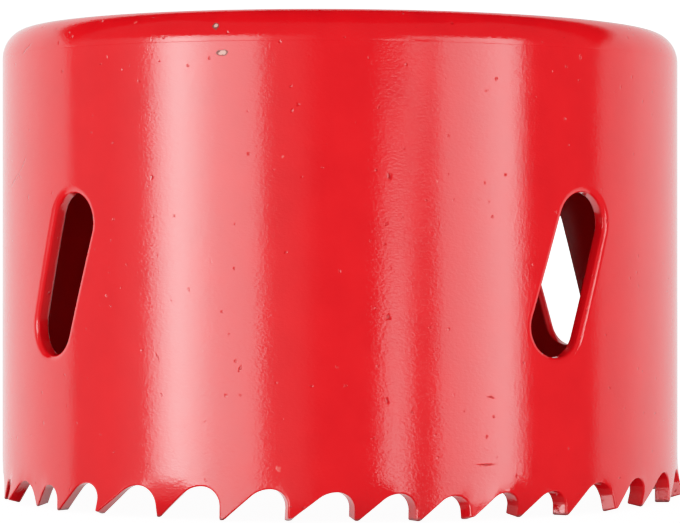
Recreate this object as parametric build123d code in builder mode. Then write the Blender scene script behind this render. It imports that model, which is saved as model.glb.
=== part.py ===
"""Bi-metal hole saw, 65 mm cut: a toothed steel cup on a thick threaded end cap.

The cup stands on the tips of its teeth. The origin is on the cup's axis at the
plane of the tips, and +Z runs up the axis to the flat back of the cap.
Lengths are in millimetres and angles in degrees.
"""
from build123d import *
from math import cos, pi, radians, sin, tan
import os

# ---- Driving dimensions ----

# Cup wall, rolled from strip
cup_diameter = 64.0
cup_height = 44.0
wall = 1.3

# Teeth: each group has the same run of uneven pitches, as shares of the group's angle
tooth_groups = 4
pitch_shares = [8.4, 9.0, 8.8, 10.7, 11.0, 11.5, 11.0, 10.1, 9.5]
first_tooth_angle = -27.4
tip_offsets = [0.0, 0.6, -0.55]  # straight, set outward, set inward, and again
bend_height = 1.8  # the set starts this far above the tips
tip_land = 0.35

# Gullets
gullet_share = 0.445  # depth, as a share of the pitch
arch_share = 0.25  # the deepest point lies this share of the pitch ahead of the tooth
rake_share = 0.42  # straight part of the rake face, as a share of the depth
rake_angle = 0.5
back_angle = 40.0
gullet_skew = 18.0  # the cut is turned about the upright, towards the rake side
gullet_flare = 10.0  # and opens outward by this much on every side

# Side slots: two stand square to each other, and the other two a little further round
slot_angles = [0.0, 95.3, 182.65, 270.0]
slot_width = 5.4
slot_length = 15.0
slot_lean = 19.0
slot_middle = 21.0  # height of the slot's centre above the tips
slot_edge_break = 0.2

# End cap
flange_thickness = 2.9
flange_round = 2.5
spigot_height = 3.1
spigot_clearance = 0.05
seam_groove = 0.15

# Arbor fittings: 5/8 inch thread and two drive pins
thread_diameter = 15.875
thread_lead_in = 0.6
pin_hole_diameter = 6.7
pin_hole_chamfer = 0.4
pin_web = 1.41  # metal left between the thread and each pin hole

# ---- Sizes that follow ----
cup_radius = cup_diameter / 2
inner_radius = cup_radius - wall
seat_height = cup_height - flange_thickness
pin_spacing = thread_diameter + pin_hole_diameter + 2 * pin_web
group_angle = 360 / tooth_groups
clear_of_wall = 2.0  # how far a cutter runs past either face of the wall
wall_seam_angle = slot_angles[1] / 2  # the rolled strip's ends meet between two slots


def tooth_steps():
    """The angle from each tooth of the whole ring to the next one."""
    scale = group_angle / sum(pitch_shares)
    return [share * scale for share in pitch_shares] * tooth_groups


def directions(angle):
    """Level unit vectors at this angle about the axis: straight out, and along the wall."""
    outward = Vector(cos(radians(angle)), sin(radians(angle)), 0)
    return outward, Vector(-outward.Y, outward.X, 0)


def section_plane(angle):
    """Upright plane through the axis, where x is the radius and y the height."""
    outward, along = directions(angle)
    return Plane((0, 0, 0), x_dir=outward, z_dir=-along)


def wall_plane(angle, lift=0.0, slide=0.0):
    """Upright plane that faces outward, lifted off the wall's outer face and slid along it."""
    outward, along = directions(angle)
    return Plane(outward * (cup_radius + lift) + along * slide, x_dir=along, z_dir=outward)


def tooth_blank(start, sweep, tip_offset):
    """A stretch of the rim below the bend. It leans by the set, and so does its end face."""
    lean = tip_offset / bend_height
    outer_lift = max(wall * lean, 0)
    inner_lift = max(-wall * lean, 0)
    with BuildPart() as blank:
        with BuildSketch(section_plane(start)):
            with BuildLine():
                Polyline(
                    (inner_radius, bend_height),
                    (cup_radius, bend_height),
                    (cup_radius + tip_offset - outer_lift * lean, outer_lift),
                    (inner_radius + tip_offset - inner_lift * lean, inner_lift),
                    close=True,
                )
            make_face()
        revolve(axis=Axis.Z, revolution_arc=sweep)
    return blank.part


def gullet_outline(width):
    """One gullet: the tooth's back rises on the left, the rake face drops on the right."""
    depth = gullet_share * width
    rake_rise = rake_share * depth
    rake = radians(rake_angle)
    back = radians(back_angle)
    tip_x = width / 2
    heel_x = tip_land - width / 2
    arch_radius = (depth - rake_rise) / (1 + sin(rake))
    rake_top = (tip_x + rake_rise * tan(rake), rake_rise)
    arch_top = (rake_top[0] - arch_radius * cos(rake), depth)
    back_radius = (arch_top[0] - heel_x - depth / tan(back)) / tan(back / 2)
    back_top = (arch_top[0] - back_radius * sin(back), depth - back_radius * (1 - cos(back)))
    with BuildSketch() as outline:
        with BuildLine():
            rise = Polyline((heel_x, -clear_of_wall), (heel_x, 0), back_top)
            TangentArc(back_top, arch_top, tangent=rise % 1)
            TangentArc(arch_top, rake_top, tangent=(1, 0))
            Polyline(rake_top, (tip_x, 0), (tip_x, -clear_of_wall), (heel_x, -clear_of_wall))
        make_face()
    return outline.sketch


def gullet_cutter(angle, width):
    """The tool that mills one gullet, skewed and flared from the outer face inward."""
    with BuildPart() as cutter:
        for lift in (clear_of_wall, -wall - clear_of_wall):
            slide = lift * tan(radians(gullet_skew))
            with BuildSketch(wall_plane(angle, lift, slide)):
                add(gullet_outline(width + 2 * lift * tan(radians(gullet_flare))))
        loft(ruled=True)
    return cutter.part


def rim_pieces():
    """The blanks of all teeth and the cutters of all gullets."""
    blanks = []
    cutters = []
    steps = tooth_steps()
    angle = first_tooth_angle
    for index, step in enumerate(steps):
        before = steps[index - 1]
        start = angle - before * arch_share
        sweep = before * arch_share + step * (1 - arch_share)
        blanks.append(tooth_blank(start, sweep, tip_offsets[index % len(tip_offsets)]))
        cutters.append(gullet_cutter(angle - before / 2, before * cup_radius * pi / 180))
        angle += step
    return blanks, cutters


def make_toothed_wall():
    """The rolled wall with its leaning slots and set teeth."""
    blanks, cutters = rim_pieces()
    with BuildPart() as toothed_wall:
        with BuildSketch(section_plane(wall_seam_angle)):
            with BuildLine():
                Polyline(
                    (inner_radius, bend_height),
                    (cup_radius, bend_height),
                    (cup_radius, seat_height - seam_groove),
                    (cup_radius - seam_groove, seat_height),
                    (inner_radius, seat_height),
                    close=True,
                )
            make_face()
        revolve(axis=Axis.Z)
        for angle in slot_angles:
            with BuildSketch(wall_plane(angle, clear_of_wall)):
                with Locations((0, slot_middle)):
                    SlotOverall(slot_length, slot_width, rotation=90 - slot_lean)
            extrude(amount=-(wall + 2 * clear_of_wall), mode=Mode.SUBTRACT)
            rims = toothed_wall.edges(Select.LAST).filter_by(GeomType.LINE, reverse=True)
            chamfer(rims, slot_edge_break)
        add(blanks)
        add(cutters, mode=Mode.SUBTRACT)
    toothed_wall.part.label = "toothed_wall"
    return toothed_wall.part


def make_end_cap():
    """The thick cap: a flange on the wall's rim, a spigot inside it, a thread and pin holes."""
    with BuildPart() as end_cap:
        with BuildSketch(Plane.XY.offset(seat_height)):
            Circle(cup_radius)
        extrude(amount=flange_thickness)
        fillet(end_cap.faces().sort_by(Axis.Z)[-1].edges(), flange_round)
        chamfer(end_cap.faces().sort_by(Axis.Z)[0].edges(), seam_groove)
        with BuildSketch(Plane.XY.offset(seat_height)):
            Circle(inner_radius - spigot_clearance)
        extrude(amount=-spigot_height)
        with BuildSketch(Plane.XY.offset(cup_height)):
            Circle(thread_diameter / 2)
        extrude(amount=-(flange_thickness + spigot_height), mode=Mode.SUBTRACT)
        chamfer(end_cap.edges(Select.LAST).filter_by(GeomType.CIRCLE), thread_lead_in)
        with BuildSketch(Plane.XY.offset(cup_height)):
            with GridLocations(pin_spacing, 0, 2, 1):
                Circle(pin_hole_diameter / 2)
        extrude(amount=-(flange_thickness + spigot_height), mode=Mode.SUBTRACT)
        chamfer(end_cap.edges(Select.LAST).filter_by(GeomType.CIRCLE), pin_hole_chamfer)
    end_cap.part.label = "end_cap"
    return end_cap.part


os.makedirs("parts", exist_ok=True)
export_step(make_toothed_wall(), "parts/toothed_wall.step")
export_step(make_end_cap(), "parts/end_cap.step")
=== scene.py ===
"""Hole saw: a red enamelled steel cup with set teeth, under a thick threaded cap."""
from math import asin, atan2, cos, degrees, hypot, pi, radians, sin, tan

import bmesh
import bpy
from mathutils import Matrix, Vector


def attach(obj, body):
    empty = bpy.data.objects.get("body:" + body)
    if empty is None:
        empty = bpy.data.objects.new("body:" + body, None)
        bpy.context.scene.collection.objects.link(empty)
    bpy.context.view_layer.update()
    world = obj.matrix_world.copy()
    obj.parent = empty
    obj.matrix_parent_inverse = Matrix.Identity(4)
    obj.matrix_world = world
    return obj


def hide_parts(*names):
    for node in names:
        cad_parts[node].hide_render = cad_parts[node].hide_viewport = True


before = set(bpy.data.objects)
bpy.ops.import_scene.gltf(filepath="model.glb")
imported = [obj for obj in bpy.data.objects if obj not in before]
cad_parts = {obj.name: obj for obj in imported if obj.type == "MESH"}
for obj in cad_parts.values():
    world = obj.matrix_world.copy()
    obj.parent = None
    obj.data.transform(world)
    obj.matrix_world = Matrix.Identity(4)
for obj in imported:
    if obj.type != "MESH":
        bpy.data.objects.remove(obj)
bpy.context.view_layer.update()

# ---- Sizes in millimetres and degrees ----
mm = 0.001

# The same as the solids'
cup_radius = 32.0
wall = 1.3
inner_radius = cup_radius - wall
cup_height = 44.0
seat_height = 41.1

tooth_groups = 4
group_angle = 360 / tooth_groups
pitch_shares = [8.4, 9.0, 8.8, 10.7, 11.0, 11.5, 11.0, 10.1, 9.5]
first_tooth_angle = -27.4
tip_offsets = [0.0, 0.6, -0.55]
tip_land = 0.35
gullet_share = 0.445
arch_share = 0.25  # a tooth starts this share of the pitch ahead of its tip
rake_share = 0.42
rake_angle = 0.5
back_angle = 40.0
gullet_skew = 18.0
gullet_flare = 10.0

slot_angles = [0.0, 95.3, 182.65, 270.0]
slot_width = 5.4
slot_length = 15.0
slot_lean = 19.0
slot_middle = 21.0

thread_radius = 7.9375
lead_in = 0.6
pin_spacing = 25.395
pin_hole_radius = 3.35
pin_hole_chamfer = 0.4
cap_bottom = 38.0
flange_round = 2.5

# Only here: the thread, and what the punch, the press and the paint do to those shapes
thread_pitch = 1.411
thread_height = 0.77
edge_roll = 0.66  # the punch draws the outer face in over this much around a slot
edge_drop = 0.42
paint_edge = 0.16  # the paint rounds every cut edge by about this much
tip_rounding = 0.17
bend_height = 2.4  # the middle of the soft bend. The solids bend sharply, at 1.8
fold = 1.6  # the teeth bend softly over this much either side of it
fade_share = 0.35  # a tooth's set fades out over this share of the pitch after it
skew_top = 5.2  # the gullets' skew has faded out at this height
skew_fade = 1.8  # and it fades over this much below it
rim_height = 8  # the gullets end well below this, and the slots well above it
slot_square = 11  # slots are cut straight through, so the wall is squared up this near to one
slot_square_fade = 4  # the squaring fades over this much to the sides
slot_square_rise = 3  # and over this much above rim_height
cap_sag = 0.4  # the cap is welded on this much lower at one side
sag_bearing = 50.8
sag_start = 31  # the wall starts to follow the cap down at this height
sag_span = 10  # and follows it in full this much higher
hair = 0.02  # surfaces that would share a place are set apart by this much

# How the wall's skin is divided, around the cup and where the teeth bend
column_step = 1.5
bend_rows = (0.5, 0.9, 1.35, 1.8, 2.25, 2.7, 3.15, 3.6, 4.1, skew_top)

# Points nearer to each other than this are one point
touch = 1e-4
close_touch = 1e-5
group_touch = 2e-3  # where two groups of teeth meet

# Handle length of a quarter circle, as a share of its radius
quarter_pull = 0.5523


# ---- Helpers ----
def link(obj):
    bpy.context.scene.collection.objects.link(obj)
    return obj


def rgb(code):
    """An sRGB hex colour as linear values."""
    parts = [int(code[i:i + 2], 16) / 255 for i in (1, 3, 5)]
    linear = [c / 12.92 if c <= 0.04045 else ((c + 0.055) / 1.055) ** 2.4 for c in parts]
    return (*linear, 1.0)


def add_spline(curve, knots):
    """A closed Bezier spline through knots of (point, handle before, handle after). None is straight."""
    spline = curve.splines.new("BEZIER")
    spline.bezier_points.add(len(knots) - 1)
    for target, (point, before, after) in zip(spline.bezier_points, knots):
        target.handle_left_type = "FREE" if before else "VECTOR"
        target.handle_right_type = "FREE" if after else "VECTOR"
        target.co = (*point, 0)
        target.handle_left = (*(before or point), 0)
        target.handle_right = (*(after or point), 0)
    spline.use_cyclic_u = True


def curve_mesh(curve):
    """The curve as a mesh of its own."""
    holder = link(bpy.data.objects.new("holder", curve))
    mesh = bpy.data.meshes.new_from_object(holder)
    bpy.data.objects.remove(holder)
    return mesh


def finished_mesh(bm, name):
    """The edited faces as a mesh, with the editing closed."""
    mesh = bpy.data.meshes.new(name)
    bm.to_mesh(mesh)
    bm.free()
    return mesh


# ---- Wall: drawn flat, with u along the outer face, then rolled up ----
def find_teeth():
    """(angle, pitch before it, tip offset) of each tooth of one group and a few either side."""
    lowest, highest = -60, 62
    scale = group_angle / sum(pitch_shares)
    steps = [share * scale for share in pitch_shares]
    found = []
    angle = first_tooth_angle - group_angle
    for index in range(3 * len(steps)):
        step = steps[index % len(steps)]
        found.append((angle, steps[(index - 1) % len(steps)], tip_offsets[index % len(tip_offsets)]))
        angle += step
    return [tooth for tooth in found if lowest < tooth[0] < highest]


def arc_length(angle):
    return radians(angle) * cup_radius


teeth = find_teeth()


def gullet_knots(tooth, pitch):
    """The rim from the tooth before to this tooth's tip: back slope, arch and rake face."""
    width = arc_length(pitch)
    middle = arc_length(tooth) - width / 2
    depth = gullet_share * width
    rise = rake_share * depth
    rake = radians(rake_angle)
    back = radians(back_angle)
    tip_x = width / 2
    heel_x = tip_land - width / 2
    arch_radius = (depth - rise) / (1 + sin(rake))
    rake_x = tip_x + rise * tan(rake)
    arch_x = rake_x - arch_radius * cos(rake)
    back_radius = (arch_x - heel_x - depth / tan(back)) / tan(back / 2)
    back_x = arch_x - back_radius * sin(back)
    back_z = depth - back_radius * (1 - cos(back))
    back_pull = 4 / 3 * tan(back / 4) * back_radius
    arch_pull = 4 / 3 * tan((pi / 2 - rake) / 4) * arch_radius
    cut = tip_rounding
    knots = [
        ((heel_x - cut, 0), None, (heel_x - cut / 3, 0)),
        ((heel_x + cut * cos(back), cut * sin(back)),
         (heel_x + cut / 3 * cos(back), cut / 3 * sin(back)), None),
        ((back_x, back_z), None, (back_x + back_pull * cos(back), back_z + back_pull * sin(back))),
        ((arch_x, depth), (arch_x - back_pull, depth), (arch_x + arch_pull, depth)),
        ((rake_x, rise), (rake_x + arch_pull * sin(rake), rise + arch_pull * cos(rake)), None),
        ((tip_x, cut), None, (tip_x, cut / 3)),
        ((tip_x + cut, 0), (tip_x + cut / 3, 0), None),
    ]
    return [[(p[0] + middle, p[1]) if p else None for p in knot] for knot in knots]


def slot_knots(slot_u, grow):
    """A leaning slot with round ends, its middle at slot_u, grown by this much all round."""
    radius = slot_width / 2 + grow
    reach = (slot_length - slot_width) / 2
    pull = 4 / 3 * tan(pi / 8) * radius
    lean = Matrix.Rotation(radians(-slot_lean), 2)
    upright = [
        ((radius, -reach), (radius, -reach - pull), None),
        ((radius, reach), None, (radius, reach + pull)),
        ((0, reach + radius), (pull, reach + radius), (-pull, reach + radius)),
        ((-radius, reach), (-radius, reach + pull), None),
        ((-radius, -reach), None, (-radius, -reach - pull)),
        ((0, -reach - radius), (-pull, -reach - radius), (pull, -reach - radius)),
    ]

    def turned(p):
        return tuple(lean @ Vector(p) + Vector((slot_u, slot_middle))) if p else None
    return [[turned(p) for p in knot] for knot in upright]


def slot_punch(slot_u):
    """A solid that cuts one slot: it rolls the outer edge over and just eases the inner one."""
    half = wall / 2
    past = 0.5
    roll_steps = 8
    ease_steps = 3
    loops = [(edge_roll, half + past)]
    for index in range(roll_steps + 1):
        turn = radians(90 * index / roll_steps)
        loops.append((edge_roll * (1 - sin(turn)), half - edge_drop * (1 - cos(turn))))
    for index in range(ease_steps + 1):
        turn = radians(90 * index / ease_steps)
        loops.append((paint_edge * (1 - cos(turn)), paint_edge * (1 - sin(turn)) - half))
    loops.append((paint_edge, -half - past))
    bm = bmesh.new()
    last = None
    for grow, height in loops:
        curve = bpy.data.curves.new("outline", "CURVE")
        curve.dimensions = "2D"
        curve.fill_mode = "NONE"
        curve.resolution_u = 12
        add_spline(curve, slot_knots(slot_u, grow))
        outline = curve_mesh(curve)
        first = len(bm.verts)
        bm.from_mesh(outline)
        bm.verts.ensure_lookup_table()
        ring = bm.verts[first:]
        bmesh.ops.translate(bm, vec=(0, 0, height), verts=ring)
        edges = list({edge for v in ring for edge in v.link_edges})
        if last:
            bmesh.ops.bridge_loops(bm, edges=last + edges)
        else:
            bmesh.ops.edgeloop_fill(bm, edges=edges)
        last = edges
    bmesh.ops.edgeloop_fill(bm, edges=last)
    bmesh.ops.recalc_face_normals(bm, faces=bm.faces)
    return link(bpy.data.objects.new("punch", finished_mesh(bm, "punch")))


def cut_away(piece, cutter):
    """Takes the cutter's shape out of the piece."""
    cut = piece.modifiers.new("cut", "BOOLEAN")
    cut.operation = "DIFFERENCE"
    cut.solver = "EXACT"
    cut.object = cutter
    bpy.context.view_layer.update()
    seen = piece.evaluated_get(bpy.context.evaluated_depsgraph_get())
    mesh = bpy.data.meshes.new_from_object(seen)
    piece.modifiers.clear()
    piece.data = mesh
    bpy.data.objects.remove(cutter)


def flat_strip(slot_u):
    """One group of teeth as a flat plate with its slot. The paint rounds every edge."""
    curve = bpy.data.curves.new("strip", "CURVE")
    curve.dimensions = "2D"
    curve.fill_mode = "BOTH"
    curve.resolution_u = 10
    rim = [knot for tooth, pitch, _ in teeth[1:] for knot in gullet_knots(tooth, pitch)]
    left, right = rim[0][0][0], rim[-1][0][0]
    top = seat_height + paint_edge
    rim += [((right, top), None, None), ((left, top), None, None)]
    add_spline(curve, rim)
    curve.bevel_depth = paint_edge
    curve.bevel_resolution = 2
    curve.offset = -paint_edge
    curve.extrude = wall / 2 - paint_edge
    bm = bmesh.new()
    bm.from_mesh(curve_mesh(curve))
    bmesh.ops.remove_doubles(bm, verts=bm.verts, dist=touch)
    bmesh.ops.recalc_face_normals(bm, faces=bm.faces)
    plate = link(bpy.data.objects.new("strip", finished_mesh(bm, "strip")))
    cut_away(plate, slot_punch(slot_u))
    mesh = plate.data
    bpy.data.objects.remove(plate)
    return mesh


def cut_at(bm, axis, value, clear=0):
    """Cuts the plate square to an axis, and clears one side of the cut."""
    normal = Vector((0, 0, 0))
    normal[axis] = 1
    bmesh.ops.bisect_plane(
        bm, geom=bm.verts[:] + bm.edges[:] + bm.faces[:], dist=close_touch,
        plane_co=normal * value, plane_no=normal, clear_outer=clear > 0, clear_inner=clear < 0)


def divide_strip(bm):
    """Columns around the cup, clean faces between them, and rows where the teeth bend."""
    half = group_angle / 2
    cut_at(bm, 0, arc_length(-half), clear=-1)
    for index in range(1, round(group_angle / column_step)):
        cut_at(bm, 0, arc_length(index * column_step - half))
    cut_at(bm, 0, arc_length(half), clear=1)
    level = 0.99999  # a face is level when its normal is this near to upright
    loose = []
    for edge in bm.edges:
        flat = len(edge.link_faces) == 2 and all(abs(f.normal.z) > level for f in edge.link_faces)
        if flat and abs(edge.verts[0].co.x - edge.verts[1].co.x) > touch:
            loose.append(edge)
    bmesh.ops.dissolve_edges(bm, edges=loose, use_verts=True)
    for height in bend_rows:
        cut_at(bm, 1, height)
    bmesh.ops.triangulate(bm, faces=[f for f in bm.faces if len(f.verts) > 4])


def smooth_step(x):
    x = min(max(x, 0), 1)
    return x * x * (3 - 2 * x)


def gullet_shift(u, w):
    """How far the skewed and flared cut has moved round, in radians, at w from the outer face."""
    radius = cup_radius + w
    spread = w * tan(radians(gullet_flare))
    slide = w * tan(radians(gullet_skew))
    stops = []
    for tooth, pitch, _ in teeth[1:]:
        half = arc_length(pitch) / 2
        middle = arc_length(tooth) - half
        for x, grow in ((tip_land - half, -spread), (half, spread)):
            stops.append((middle + x, (slide + grow + x) / radius - x / cup_radius))
    for (u0, s0), (u1, s1) in zip(stops, stops[1:]):
        if u0 <= u <= u1:
            return s0 + (s1 - s0) * (u - u0) / (u1 - u0)
    return 0.0


def tooth_offset(u):
    """The set of the tooth that this place belongs to. It fades in and out over the gullets."""
    for (tooth, pitch, offset), (_, gap, _) in zip(teeth[-2::-1], teeth[:0:-1]):
        before = arc_length(pitch * arch_share)
        start = arc_length(tooth) - before
        if u >= start:
            after = arc_length(gap * fade_share)
            stop = arc_length(tooth + gap * (1 - arch_share))
            return offset * smooth_step((u - start) / before) * smooth_step((stop - u) / after)
    return 0.0


def roll_up(u, height, w, slot_u):
    """A point of the flat plate in its place on the cup. w is 0 at the outer face and negative inside."""
    near_teeth = smooth_step((skew_top - height) / skew_fade)
    angle = u / cup_radius + near_teeth * gullet_shift(u, w)
    x = u - slot_u
    if abs(x) < slot_square:
        beside = smooth_step((slot_square - abs(x)) / slot_square_fade)
        above = smooth_step((height - rim_height) / slot_square_rise)
        angle += beside * above * (asin(x / (cup_radius + w)) - x / cup_radius)
    offset = tooth_offset(u)
    lean = offset / bend_height
    fall = bend_height - height
    fall = max(fall, 0) if abs(fall) > fold else (fall + fold) ** 2 / (4 * fold)
    share = fall / bend_height
    lift = share * ((w + wall) * lean if lean > 0 else -w * -lean)
    radius = cup_radius + w + (fall - lift) * lean
    return Vector((radius * cos(angle), radius * sin(angle), height + lift))


def roll_group(bm, slot_u):
    """Rolls the plate up, and turns the flat plate's normals with it."""
    shade = bm.verts.layers.float_vector.new("shade")
    bm.normal_update()
    step = 1e-3
    for v in bm.verts:
        n = v.normal.copy()
        if abs(v.co.z) > wall / 2 - touch:
            n = Vector((0, 0, 1 if v.co.z > 0 else -1))
        elif v.co.y < rim_height and abs(v.co.z) < wall / 2 - paint_edge + touch:
            n.z = 0
        u, height, w = v.co.x, v.co.y, v.co.z - wall / 2
        here = roll_up(u, height, w, slot_u)
        du = (roll_up(u + step, height, w, slot_u) - here) / step
        dh = (roll_up(u, height + step, w, slot_u) - here) / step
        dw = (roll_up(u, height, w + step, slot_u) - here) / step
        normal = n.x * dh.cross(dw) + n.y * dw.cross(du) + n.z * du.cross(dh)
        v[shade] = normal.normalized()
        v.co = here
    return shade


def sag(place):
    """How much lower a place near the cap is than the drawing says."""
    across = place.x * cos(radians(sag_bearing)) + place.y * sin(radians(sag_bearing))
    return cap_sag * (1 + across / cup_radius) / 2


def make_wall():
    """The toothed wall, from four groups of teeth that differ only in where the slot is."""
    whole = bmesh.new()
    for index, slot_angle in enumerate(slot_angles):
        slot_u = arc_length(slot_angle - index * group_angle)
        bm = bmesh.new()
        bm.from_mesh(flat_strip(slot_u))
        bmesh.ops.remove_doubles(bm, verts=bm.verts, dist=touch)
        bmesh.ops.recalc_face_normals(bm, faces=bm.faces)
        divide_strip(bm)
        shade = roll_group(bm, slot_u)
        turn = Matrix.Rotation(radians(index * group_angle), 3, "Z")
        for v in bm.verts:
            v.co = turn @ v.co
            v.co.z -= sag(v.co) * smooth_step((v.co.z - sag_start) / sag_span)
            v[shade] = turn @ v[shade]
        whole.from_mesh(finished_mesh(bm, "group"))
    bmesh.ops.remove_doubles(whole, verts=whole.verts, dist=group_touch)
    bmesh.ops.scale(whole, vec=(mm, mm, mm), verts=whole.verts)
    shade = whole.verts.layers.float_vector["shade"]
    normals = [v[shade].normalized() for v in whole.verts]
    mesh = finished_mesh(whole, "enamelled_wall")
    mesh.attributes.remove(mesh.attributes["shade"])
    mesh.shade_smooth()
    mesh.normals_split_custom_set_from_vertices(normals)
    return link(bpy.data.objects.new("enamelled_wall", mesh))


# ---- Cap: a turned plate with a thread and two pin holes ----
def turned_mesh(knots, steps, centre=(0, 0)):
    """A closed profile of (radius, height) knots turned about an upright axis."""
    curve = bpy.data.curves.new("profile", "CURVE")
    curve.dimensions = "2D"
    curve.fill_mode = "NONE"
    curve.resolution_u = 18
    add_spline(curve, knots)
    bm = bmesh.new()
    bm.from_mesh(curve_mesh(curve))
    for v in bm.verts:
        v.co = (v.co.x, 0, v.co.y)
    bmesh.ops.spin(
        bm, geom=bm.verts[:] + bm.edges[:], cent=(0, 0, 0), axis=(0, 0, 1), dvec=(0, 0, 0),
        angle=2 * pi, steps=steps, use_merge=True, use_duplicate=False)
    bmesh.ops.remove_doubles(bm, verts=bm.verts, dist=close_touch)
    bmesh.ops.recalc_face_normals(bm, faces=bm.faces)
    bmesh.ops.translate(bm, vec=(*centre, 0), verts=bm.verts)
    bmesh.ops.scale(bm, vec=(mm, mm, mm), verts=bm.verts)
    return finished_mesh(bm, "turned")


def straight(*points):
    return [(p, None, None) for p in points]


def make_cap():
    """The cap's flange, spigot and bore, with the pin holes cut through."""
    bore = thread_radius + hair
    mouth = bore + lead_in
    flat_edge = cup_radius - flange_round
    shoulder = 41.25  # the rounding of the flange ends at this height
    spigot = 30.65
    spigot_chamfer = 0.3
    knots = straight((mouth, cap_bottom), (bore, cap_bottom + lead_in),
                     (bore, cup_height - lead_in), (mouth, cup_height))
    knots += [
        ((flat_edge, cup_height), None, (flat_edge + flange_round * quarter_pull, cup_height)),
        ((cup_radius, shoulder), (cup_radius, shoulder + (cup_height - shoulder) * quarter_pull), None),
    ]
    knots += straight((cup_radius - hair, seat_height), (spigot, seat_height),
                      (spigot, cap_bottom + spigot_chamfer), (spigot - spigot_chamfer, cap_bottom))
    cap = link(bpy.data.objects.new("enamelled_cap", turned_mesh(knots, 288)))
    past = 1.0  # how far the pin holes' cutters run past the cap
    wide = pin_hole_radius + pin_hole_chamfer + past
    for side in (-1, 1):
        hole = straight((0, cap_bottom - past), (wide, cap_bottom - past),
                        (pin_hole_radius, cap_bottom + pin_hole_chamfer),
                        (pin_hole_radius, cup_height - pin_hole_chamfer),
                        (wide, cup_height + past), (0, cup_height + past))
        cutter = turned_mesh(hole, 96, (side * pin_spacing / 2, 0))
        cut_away(cap, link(bpy.data.objects.new("cutter", cutter)))
    for v in cap.data.vertices:
        v.co.z -= sag(v.co / mm) * mm
    cap.data.shade_smooth()
    cap.data.set_sharp_from_angle(angle=radians(22))
    return cap


def make_thread():
    """The thread's ridge, wound up the bore and trimmed to the lead-in at both ends."""
    bm = bmesh.new()
    root = thread_radius + 3 * hair  # a little inside the cap's metal
    crest = thread_radius - thread_height
    crest_half = 0.09
    half = thread_pitch / 2
    section = [(root, -half), (crest, -crest_half), (crest, crest_half), (root, half)]
    start = cap_bottom - half
    verts = [bm.verts.new((r, 0, start + z)) for r, z in section]
    edges = [bm.edges.new(pair) for pair in zip(verts, verts[1:])]
    turns = 5
    turn_steps = 96
    bmesh.ops.spin(
        bm, geom=verts + edges, cent=(0, 0, 0), axis=(0, 0, 1), angle=2 * pi * turns,
        dvec=(0, 0, thread_pitch / turn_steps), steps=turn_steps * turns,
        use_merge=False, use_duplicate=False)
    bmesh.ops.remove_doubles(bm, verts=bm.verts, dist=touch)
    for side, end in ((1, cup_height - hair), (-1, cap_bottom + hair)):
        for v in bm.verts:
            if (v.co.z - end) * side > 0:
                v.co.z = end
            reach = thread_radius + lead_in - (end - v.co.z) * side
            radius = hypot(v.co.x, v.co.y)
            if radius < reach:
                v.co.x *= reach / radius
                v.co.y *= reach / radius
    for v in bm.verts:
        v.co.z -= sag(v.co)
    bmesh.ops.recalc_face_normals(bm, faces=bm.faces)
    bmesh.ops.scale(bm, vec=(mm, mm, mm), verts=bm.verts)
    mesh = finished_mesh(bm, "cut_thread")
    mesh.shade_smooth()
    mesh.set_sharp_from_angle(angle=radians(30))
    return link(bpy.data.objects.new("cut_thread", mesh))


# ---- Materials ----
def new_material(name):
    material = bpy.data.materials.new(name)
    material.use_nodes = True
    material.node_tree.nodes.clear()
    return material, material.node_tree


def node(tree, kind, settings=None, **inputs):
    """Adds a node. An input's name has _ for a space, or is _ and the number of the input."""
    made = tree.nodes.new(kind)
    for key, value in (settings or {}).items():
        setattr(made, key, value)
    for key, value in inputs.items():
        socket = made.inputs[int(key[1:])] if key[1:].isdigit() else made.inputs[key.replace("_", " ")]
        if isinstance(value, bpy.types.NodeSocket):
            tree.links.new(value, socket)
        else:
            socket.default_value = value
    return made


def fade(tree, value, near, far, most=1.0):
    """Most where the value is below near, and falling smoothly to nothing at far."""
    return node(tree, "ShaderNodeMapRange", {"interpolation_type": "SMOOTHSTEP"}, Value=value,
                From_Min=near, From_Max=far, To_Min=most, To_Max=0.0).outputs[0]


# Marks on the paint: angle about the axis, height, half length and half width in mm, and tilt
nicks = [
    (-107.5, 29.7, 1.9, 0.07, 24), (-103.2, 31.0, 1.1, 0.07, 38), (-105.0, 30.0, 0.6, 0.06, -30),
    (-101.7, 41.4, 1.3, 0.08, 22), (-100.9, 28.0, 0.12, 0.3, 0), (-31.7, 29.4, 0.2, 0.3, 20),
    (-31.8, 17.4, 0.2, 0.28, 10), (-32.0, 10.3, 0.17, 0.28, 15), (-33.6, 29.9, 0.14, 0.14, 0),
    (-16.1, 4.7, 0.8, 0.07, 1), (-15.4, 10.5, 0.35, 0.08, -8), (-54.6, 13.0, 0.1, 0.34, -25),
    (-68.7, 13.9, 0.08, 0.4, 30), (-69.8, 29.4, 0.16, 0.2, 0), (24.0, 8.4, 0.3, 0.1, 8),
    (112.0, 33.0, 1.6, 0.07, 30), (160.0, 15.0, 0.2, 0.3, 0), (196.0, 36.0, 1.2, 0.06, -12),
]
specks = [
    (-73.6, 42.9, 0.15, 0.15, 0), (-78.6, 40.0, 0.11, 0.11, 0), (-48.6, 4.5, 0.2, 0.28, 20),
    (-47.9, 31.0, 0.1, 0.1, 0), (-24.3, 29.0, 0.13, 0.13, 0), (-17.2, 27.5, 0.1, 0.12, 0),
    (60.0, 12.0, 0.12, 0.12, 0),
]
chips = [(-57.5, 40.0, 0.56, 0.25, 4), (-58.8, 42.3, 0.27, 0.27, 0), (140.0, 41.0, 0.4, 0.25, 20)]


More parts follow.
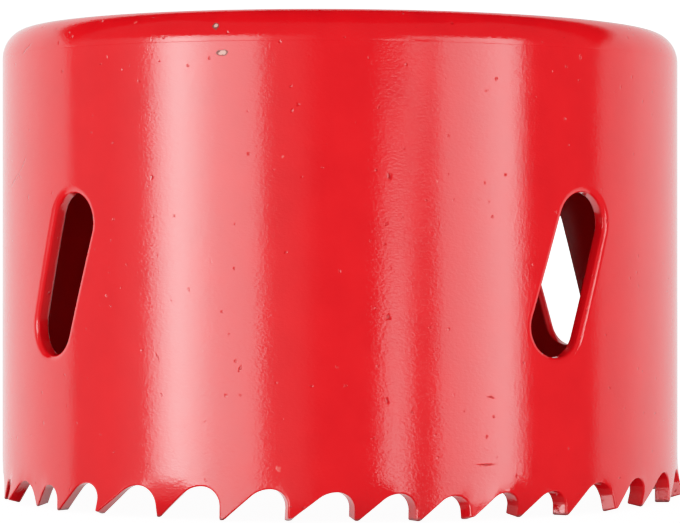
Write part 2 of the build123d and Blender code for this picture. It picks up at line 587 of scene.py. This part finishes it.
def mark(tree, place, angle, height, length, width, tilt):
    """Distance from one of the marks, where 1 is the mark's edge."""
    outward = Vector((cos(radians(angle)), sin(radians(angle)), 0))
    along = Vector((-outward.y, outward.x, 0)) * cos(radians(tilt)) + Vector((0, 0, sin(radians(tilt))))
    axes = Matrix((along, outward.cross(along), outward)).transposed()
    depth = 2  # half of a mark's size square to the wall
    spot = node(tree, "ShaderNodeMapping", {"vector_type": "TEXTURE"}, Vector=place,
                Location=(outward * cup_radius + Vector((0, 0, height))) * mm,
                Rotation=axes.to_euler(), Scale=(length * mm, width * mm, depth * mm))
    return node(tree, "ShaderNodeVectorMath", {"operation": "LENGTH"}, _0=spot.outputs[0]).outputs["Value"]


def nearest(tree, place, several):
    """Distance from the nearest of several marks."""
    least = None
    for each in several:
        reach = mark(tree, place, *each)
        least = reach if least is None else node(
            tree, "ShaderNodeMath", {"operation": "MINIMUM"}, _0=least, _1=reach).outputs[0]
    return least


def red_enamel():
    """Stoved red enamel, dipped over steel: a deep gloss, speckled at the edge of every reflection.

    Dust pits, nicks and chips break it, and it is worn off the teeth's tips. The pits, the nicks and the
    tips are also painted darker, as painted shade."""
    material, tree = new_material("stoved_red_enamel")
    place = node(tree, "ShaderNodeTexCoord").outputs["Object"]
    # marks have ragged edges: places are moved by up to 0.2 mm
    ragged = node(tree, "ShaderNodeTexNoise", Vector=place, Scale=2600.0, Detail=2.0)
    off = node(tree, "ShaderNodeVectorMath", {"operation": "MULTIPLY_ADD"}, _0=ragged.outputs["Color"],
               _1=(0.0004, 0.0004, 0.0004), _2=(-0.0002, -0.0002, -0.0002))
    rough_place = node(tree, "ShaderNodeVectorMath", {"operation": "ADD"}, _0=place,
                       _1=off.outputs[0]).outputs[0]
    squat = node(tree, "ShaderNodeMapping", Vector=place, Scale=(1.0, 1.0, 1.7)).outputs[0]

    # orange peel 0.9 mm across, and a grain in it 0.28 mm wide and 0.16 mm tall
    peel = node(tree, "ShaderNodeTexNoise", Vector=place, Scale=1100.0, Detail=2.0, Roughness=0.55)
    grain = node(tree, "ShaderNodeTexNoise", Vector=squat, Scale=3600.0, Detail=2.0, Roughness=0.6)
    # dust pits up to 0.37 mm across, about one to every 13 square mm, painted darker red as painted shade
    # in them
    dust = node(tree, "ShaderNodeTexVoronoi", Vector=rough_place, Scale=600.0)
    pits_and_shade = fade(tree, dust.outputs["Distance"], 0.03, 0.11)
    # nicks in the paint, painted darker red as painted shade in them
    nick_and_shade = fade(tree, nearest(tree, rough_place, nicks), 0.1, 1.4)
    speck = fade(tree, nearest(tree, rough_place, specks), 0.5, 1.2)
    # a chip has a dark rim with primer inside it
    chip_reach = nearest(tree, rough_place, chips)
    rim = fade(tree, chip_reach, 0.95, 1.2)
    primer = fade(tree, chip_reach, 0.55, 0.8)
    # the paint is worn thin over the lowest 0.35 mm of the teeth, and it is painted dark grey there as
    # painted shade under the teeth
    height = node(tree, "ShaderNodeSeparateXYZ", Vector=rough_place).outputs["Z"]
    worn_and_shade = fade(tree, height, 0.0001, 0.00035, most=0.6)

    cloud = node(tree, "ShaderNodeTexNoise", Vector=place, Scale=260.0, Detail=3.0, Roughness=0.6)
    tint = node(tree, "ShaderNodeMapRange", Value=cloud.outputs["Fac"], From_Min=0.3, From_Max=0.7)
    colour = node(tree, "ShaderNodeMix", {"data_type": "RGBA"}, _0=tint.outputs[0],
                  _6=rgb("#D20D17"), _7=rgb("#DD0F18"))
    # the darker reds in pits and nicks and the dark grey on the tips are painted shade; the specks, the
    # chip's rim and the primer are the paint's own colours
    for share, code in ((pits_and_shade, "#BE0B13"), (nick_and_shade, "#A8080F"), (speck, "#E2504C"), (rim, "#7E2A22"),
                        (primer, "#D2A094"), (worn_and_shade, "#5A4240")):
        colour = node(tree, "ShaderNodeMix", {"data_type": "RGBA"}, _0=share, _6=colour.outputs[2],
                      _7=rgb(code))
    shine = node(tree, "ShaderNodeMapRange", Value=cloud.outputs["Fac"], From_Min=0.3, From_Max=0.7,
                 To_Min=0.07, To_Max=0.1)
    dull = node(tree, "ShaderNodeMath", {"operation": "MAXIMUM"}, _0=rim, _1=worn_and_shade)
    roughness = node(tree, "ShaderNodeMath", {"operation": "MULTIPLY_ADD"}, _0=dull.outputs[0], _1=0.4,
                     _2=shine.outputs[0])

    # heights in millimetres
    peel_height = 0.0045
    grain_height = 0.0125
    coarse = node(tree, "ShaderNodeMath", {"operation": "MULTIPLY"}, _0=peel.outputs["Fac"],
                  _1=peel_height)
    lift = node(tree, "ShaderNodeMath", {"operation": "MULTIPLY_ADD"}, _0=grain.outputs["Fac"],
                _1=grain_height, _2=coarse.outputs[0])
    for share, rise in ((pits_and_shade, -0.024), (nick_and_shade, -0.035), (speck, 0.01)):
        lift = node(tree, "ShaderNodeMath", {"operation": "MULTIPLY_ADD"}, _0=share, _1=rise,
                    _2=lift.outputs[0])
    bump = node(tree, "ShaderNodeBump", Strength=1.0, Distance=mm, Height=lift.outputs[0])
    shader = node(tree, "ShaderNodeBsdfPrincipled", Base_Color=colour.outputs[2],
                  Roughness=roughness.outputs[0], IOR=1.5, Normal=bump.outputs["Normal"])
    node(tree, "ShaderNodeOutputMaterial", Surface=shader.outputs["BSDF"])
    return material


def cut_steel():
    """Plain carbon steel, freshly cut: grey, bright on the crests, with fine tool lines."""
    material, tree = new_material("cut_steel")
    place = node(tree, "ShaderNodeTexCoord").outputs["Object"]
    lines = node(tree, "ShaderNodeTexNoise", Vector=place, Scale=2500.0, Detail=3.0)
    bump = node(tree, "ShaderNodeBump", Strength=0.2, Distance=0.00003, Height=lines.outputs["Fac"])
    shader = node(tree, "ShaderNodeBsdfPrincipled", Base_Color=rgb("#9A9690"), Metallic=1.0,
                  Roughness=0.35, Normal=bump.outputs["Normal"])
    node(tree, "ShaderNodeOutputMaterial", Surface=shader.outputs["BSDF"])
    return material


# ---- Studio ----
camera_angle = -39.2  # the camera stands at this angle about the cup's axis
camera_distance = 291.44
camera_height = 21.75
sensor_width = 36.0
picture_width = 680  # in pixels, and so are the next two
focal_length = 3056
picture_shift = 4.5

# The tent, with its radius in metres and its strengths at the horizon and overhead
tent_radius = 1.45
tent_horizon = 1.42
tent_zenith = 0.78
tent_tilt = 0.22  # the tent glows this much more on the left, and less on the right
backdrop = 1.6  # strength of the plain white behind the cup

# Curved panels: two bearings from the camera and two elevations in degrees, the distance from the
# axis in metres, and strengths as (place across the panel from 0 to 1, strength)
panels = [
    ("left_softbox", -64, -25.0, -10.5, 16, 0.8,
     [(0.0, 4.6), (0.13, 8.4), (0.26, 12.0), (0.6, 5.8), (1.0, 4.2)]),
    ("right_softbox", 31, 61, -10.5, 16, 0.8, [(0.0, 3.0), (0.35, 4.2), (0.8, 7.3), (1.0, 4.8)]),
    ("low_strip", 13, 23, -10.5, -1, 0.8, [(0.0, 3.0), (0.5, 5.0), (1.0, 2.8)]),
    ("strip", 13, 23, -1, 3, 0.8, [(0.0, 1.8), (0.5, 3.2), (1.0, 1.8)]),
    ("high_strip", 21, 29, 3, 16, 0.8, [(0.0, 2.2), (0.5, 2.8), (1.0, 2.5)]),
    ("left_wall", -98, -8, -20, 16, 0.9,
     [(0.0, 0.5), (0.2, 0.55), (0.28, 0.8), (0.38, 1.2), (0.83, 0.8), (0.94, 0.6), (1.0, 0.3)]),
    ("right_wall", 22, 34, -14, 16, 0.9, [(0.0, 0.38), (1.0, 0.38)]),
    ("dim_room", -100, 94, -60, 60, 1.1, [(0.0, 0.2), (1.0, 0.2)]),
    ("pale_surround", 93, 261, -60, 44, 1.0,
     [(0.0, 1.05), (0.15, 1.4), (0.5, 0.8), (0.85, 1.6), (1.0, 1.55)]),
]
arched_panels = ["pale_surround"]

# The tone curve: light that falls on the film, and what the picture makes of it
brightest = 1.4
tone_points = [(0.72, 0.72), (0.88, 0.815), (1.03, 0.88), (1.28, 0.975)]

# The floor's glow starts at the first radius under the cup and is full from the second
floor_glow_start = 29.0 * mm
floor_glow_full = 38.0 * mm


def make_camera():
    camera = bpy.data.cameras.new("camera")
    camera.sensor_width = sensor_width
    camera.lens = focal_length / picture_width * sensor_width
    camera.shift_y = picture_shift / picture_width
    camera.clip_start = 0.01
    camera.clip_end = 20
    holder = link(bpy.data.objects.new("camera", camera))
    away = Vector((cos(radians(camera_angle)), sin(radians(camera_angle)), 0))
    holder.location = (away * camera_distance + Vector((0, 0, camera_height))) * mm
    holder.rotation_euler = (radians(90), 0, radians(camera_angle + 90))
    bpy.context.scene.camera = holder


def glow(name, levels):
    """An even or graded emitter."""
    material, tree = new_material(name)
    place = node(tree, "ShaderNodeTexCoord").outputs["UV"]
    across = node(tree, "ShaderNodeSeparateXYZ", Vector=place)
    ramp = node(tree, "ShaderNodeValToRGB", Fac=across.outputs["X"])
    top = max(level for _, level in levels)
    stops = ramp.color_ramp.elements
    for index, (where, level) in enumerate(levels):
        stop = stops[index] if index < 2 else stops.new(where)
        stop.position = where
        stop.color = (level / top, level / top, level / top, 1)
    light = node(tree, "ShaderNodeEmission", Color=ramp.outputs["Color"], Strength=top)
    node(tree, "ShaderNodeOutputMaterial", Surface=light.outputs["Emission"])
    return material


def make_panel(name, start, stop, low, high, distance, levels):
    """One curved panel about the cup's axis. The top of an arched one falls away to both ends."""
    begin = radians(camera_angle + start)
    z0 = camera_height * mm + distance * tan(radians(low))
    z1 = camera_height * mm + distance * tan(radians(high))
    slack = 1e-3  # so that the start isn't taken for the end of a full turn

    def across(co):
        """How far across the panel a point is, from 0 to 1."""
        turn = degrees(atan2(co.y, co.x)) - camera_angle - start
        return (turn + slack) % 360 / (stop - start)

    bm = bmesh.new()
    verts = [bm.verts.new((distance * cos(begin), distance * sin(begin), z)) for z in (z0, z1)]
    edge = bm.edges.new(verts)
    step_angle = 3
    steps = max(4, round(abs(stop - start) / step_angle))
    bmesh.ops.spin(
        bm, geom=verts + [edge], cent=(0, 0, 0), axis=(0, 0, 1), dvec=(0, 0, 0),
        angle=radians(stop - start), steps=steps, use_merge=False, use_duplicate=False)
    uv = bm.loops.layers.uv.new("UVMap")
    for face in bm.faces:
        for loop in face.loops:
            loop[uv].uv = (across(loop.vert.co), loop.vert.co.z > 0)
    if name in arched_panels:
        for v in bm.verts:
            if v.co.z > (z0 + z1) / 2:
                arch = max(1 - (2 * across(v.co) - 1) ** 2, 0) ** 0.5
                v.co.z = distance * tan(radians(high) * arch)
    mesh = finished_mesh(bm, name)
    mesh.materials.append(glow(name, levels))
    obj = link(bpy.data.objects.new(name, mesh))
    obj.visible_camera = False
    obj.visible_diffuse = False
    obj.visible_shadow = False


def light_tent():
    """A white tent all round, dimmer overhead, that gives the soft light. The paint doesn't mirror it."""
    bm = bmesh.new()
    bmesh.ops.create_uvsphere(bm, u_segments=48, v_segments=32, radius=tent_radius)
    bmesh.ops.bisect_plane(
        bm, geom=bm.verts[:] + bm.edges[:] + bm.faces[:], plane_co=(0, 0, 0), plane_no=(0, 0, -1),
        clear_outer=True)
    mesh = finished_mesh(bm, "light_tent")
    material, tree = new_material("white_tent_cloth")
    place = node(tree, "ShaderNodeTexCoord").outputs["Object"]
    height = node(tree, "ShaderNodeSeparateXYZ", Vector=place).outputs["Z"]
    upward = node(tree, "ShaderNodeMapRange", Value=height, From_Max=tent_radius,
                  To_Min=tent_horizon, To_Max=tent_zenith)
    left = radians(camera_angle - 90)
    toward = node(tree, "ShaderNodeVectorMath", {"operation": "DOT_PRODUCT"}, _0=place,
                  _1=(cos(left) * tent_tilt / tent_radius, sin(left) * tent_tilt / tent_radius, 0))
    level = node(tree, "ShaderNodeMath", {"operation": "ADD"}, _0=upward.outputs["Result"],
                 _1=toward.outputs["Value"])
    light = node(tree, "ShaderNodeEmission", Strength=level.outputs[0])
    node(tree, "ShaderNodeOutputMaterial", Surface=light.outputs["Emission"])
    material.cycles.emission_sampling = "NONE"
    mesh.materials.append(material)
    obj = link(bpy.data.objects.new("light_tent", mesh))
    obj.visible_camera = False
    obj.visible_glossy = False
    obj.visible_shadow = False


def soft_shoulder():
    """The picture's highlights roll off gently, as a camera's do, instead of clipping."""
    view = bpy.context.scene.view_settings
    view.view_transform = "Standard"
    view.use_curve_mapping = True
    mapping = view.curve_mapping
    mapping.use_clip = True
    mapping.clip_max_x = brightest
    mapping.clip_max_y = 1.0
    points = mapping.curves[3].points
    points[0].location = (0, 0)
    points[1].location = (brightest, 1.0)
    for place in tone_points:
        points.new(*place)
    points[0].handle_type = "VECTOR"
    points[1].handle_type = "VECTOR"
    mapping.update()


def make_studio():
    """Softboxes either side of the camera, a pale surround behind the cup and a white tent over it."""
    for each in panels:
        make_panel(*each)
    light_tent()
    soft_shoulder()
    world = bpy.data.worlds.new("studio")
    bpy.context.scene.world = world
    world.use_nodes = True
    background = world.node_tree.nodes["Background"]
    background.inputs["Color"].default_value = (1, 1, 1, 1)
    background.inputs["Strength"].default_value = backdrop
    world.cycles_visibility.diffuse = False
    world.cycles_visibility.glossy = False


def make_sheet(name, height, albedo, level, seen):
    """A round sheet of pale paper that glows, and is clear from below.

    The one that isn't seen has no glow under the cup."""
    bm = bmesh.new()
    bmesh.ops.create_circle(bm, cap_ends=True, segments=96, radius=1.5)
    bmesh.ops.translate(bm, vec=(0, 0, height * mm), verts=bm.verts)
    bmesh.ops.recalc_face_normals(bm, faces=bm.faces)
    mesh = finished_mesh(bm, name)
    material, tree = new_material("pale_paper_" + name)
    paper = node(tree, "ShaderNodeBsdfDiffuse", Color=rgb(albedo))
    if seen:
        light = node(tree, "ShaderNodeEmission", Strength=level)
    else:
        place = node(tree, "ShaderNodeTexCoord").outputs["Object"]
        reach = node(tree, "ShaderNodeVectorMath", {"operation": "LENGTH"}, _0=place)
        outside = node(tree, "ShaderNodeMapRange", Value=reach.outputs["Value"],
                       From_Min=floor_glow_start, From_Max=floor_glow_full, To_Min=0.0, To_Max=level)
        light = node(tree, "ShaderNodeEmission", Strength=outside.outputs["Result"])
    both = node(tree, "ShaderNodeAddShader", _0=paper.outputs[0], _1=light.outputs[0])
    under = node(tree, "ShaderNodeNewGeometry").outputs["Backfacing"]
    clear = node(tree, "ShaderNodeBsdfTransparent")
    mix = node(tree, "ShaderNodeMixShader", _0=under, _1=both.outputs[0], _2=clear.outputs[0])
    node(tree, "ShaderNodeOutputMaterial", Surface=mix.outputs[0])
    material.cycles.emission_sampling = "NONE"
    mesh.materials.append(material)
    obj = link(bpy.data.objects.new(name, mesh))
    obj.visible_camera = seen
    obj.visible_diffuse = not seen
    obj.visible_shadow = not seen
    obj.visible_glossy = False


def plain_floor():
    """Two sheets of pale paper: the lower one lights the cup, the upper one is what is seen."""
    glow_level = 1.25
    make_sheet("floor", -0.3, "#707070", glow_level, False)
    make_sheet("floor_top", -0.1, "#808080", glow_level, True)


# ---- Assembly ----
make_camera()
make_studio()
plain_floor()

enamel = red_enamel()
steel = cut_steel()

wall_piece = make_wall()
wall_piece.data.materials.append(enamel)
cap_piece = make_cap()
cap_piece.data.materials.clear()
cap_piece.data.materials.append(enamel)
thread_piece = make_thread()
thread_piece.data.materials.append(steel)

for piece, slot in ((wall_piece, "wall_paint"), (cap_piece, "cap_paint"), (thread_piece, "cap_paint")):
    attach(piece, "root")
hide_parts("toothed_wall")
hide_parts("end_cap")
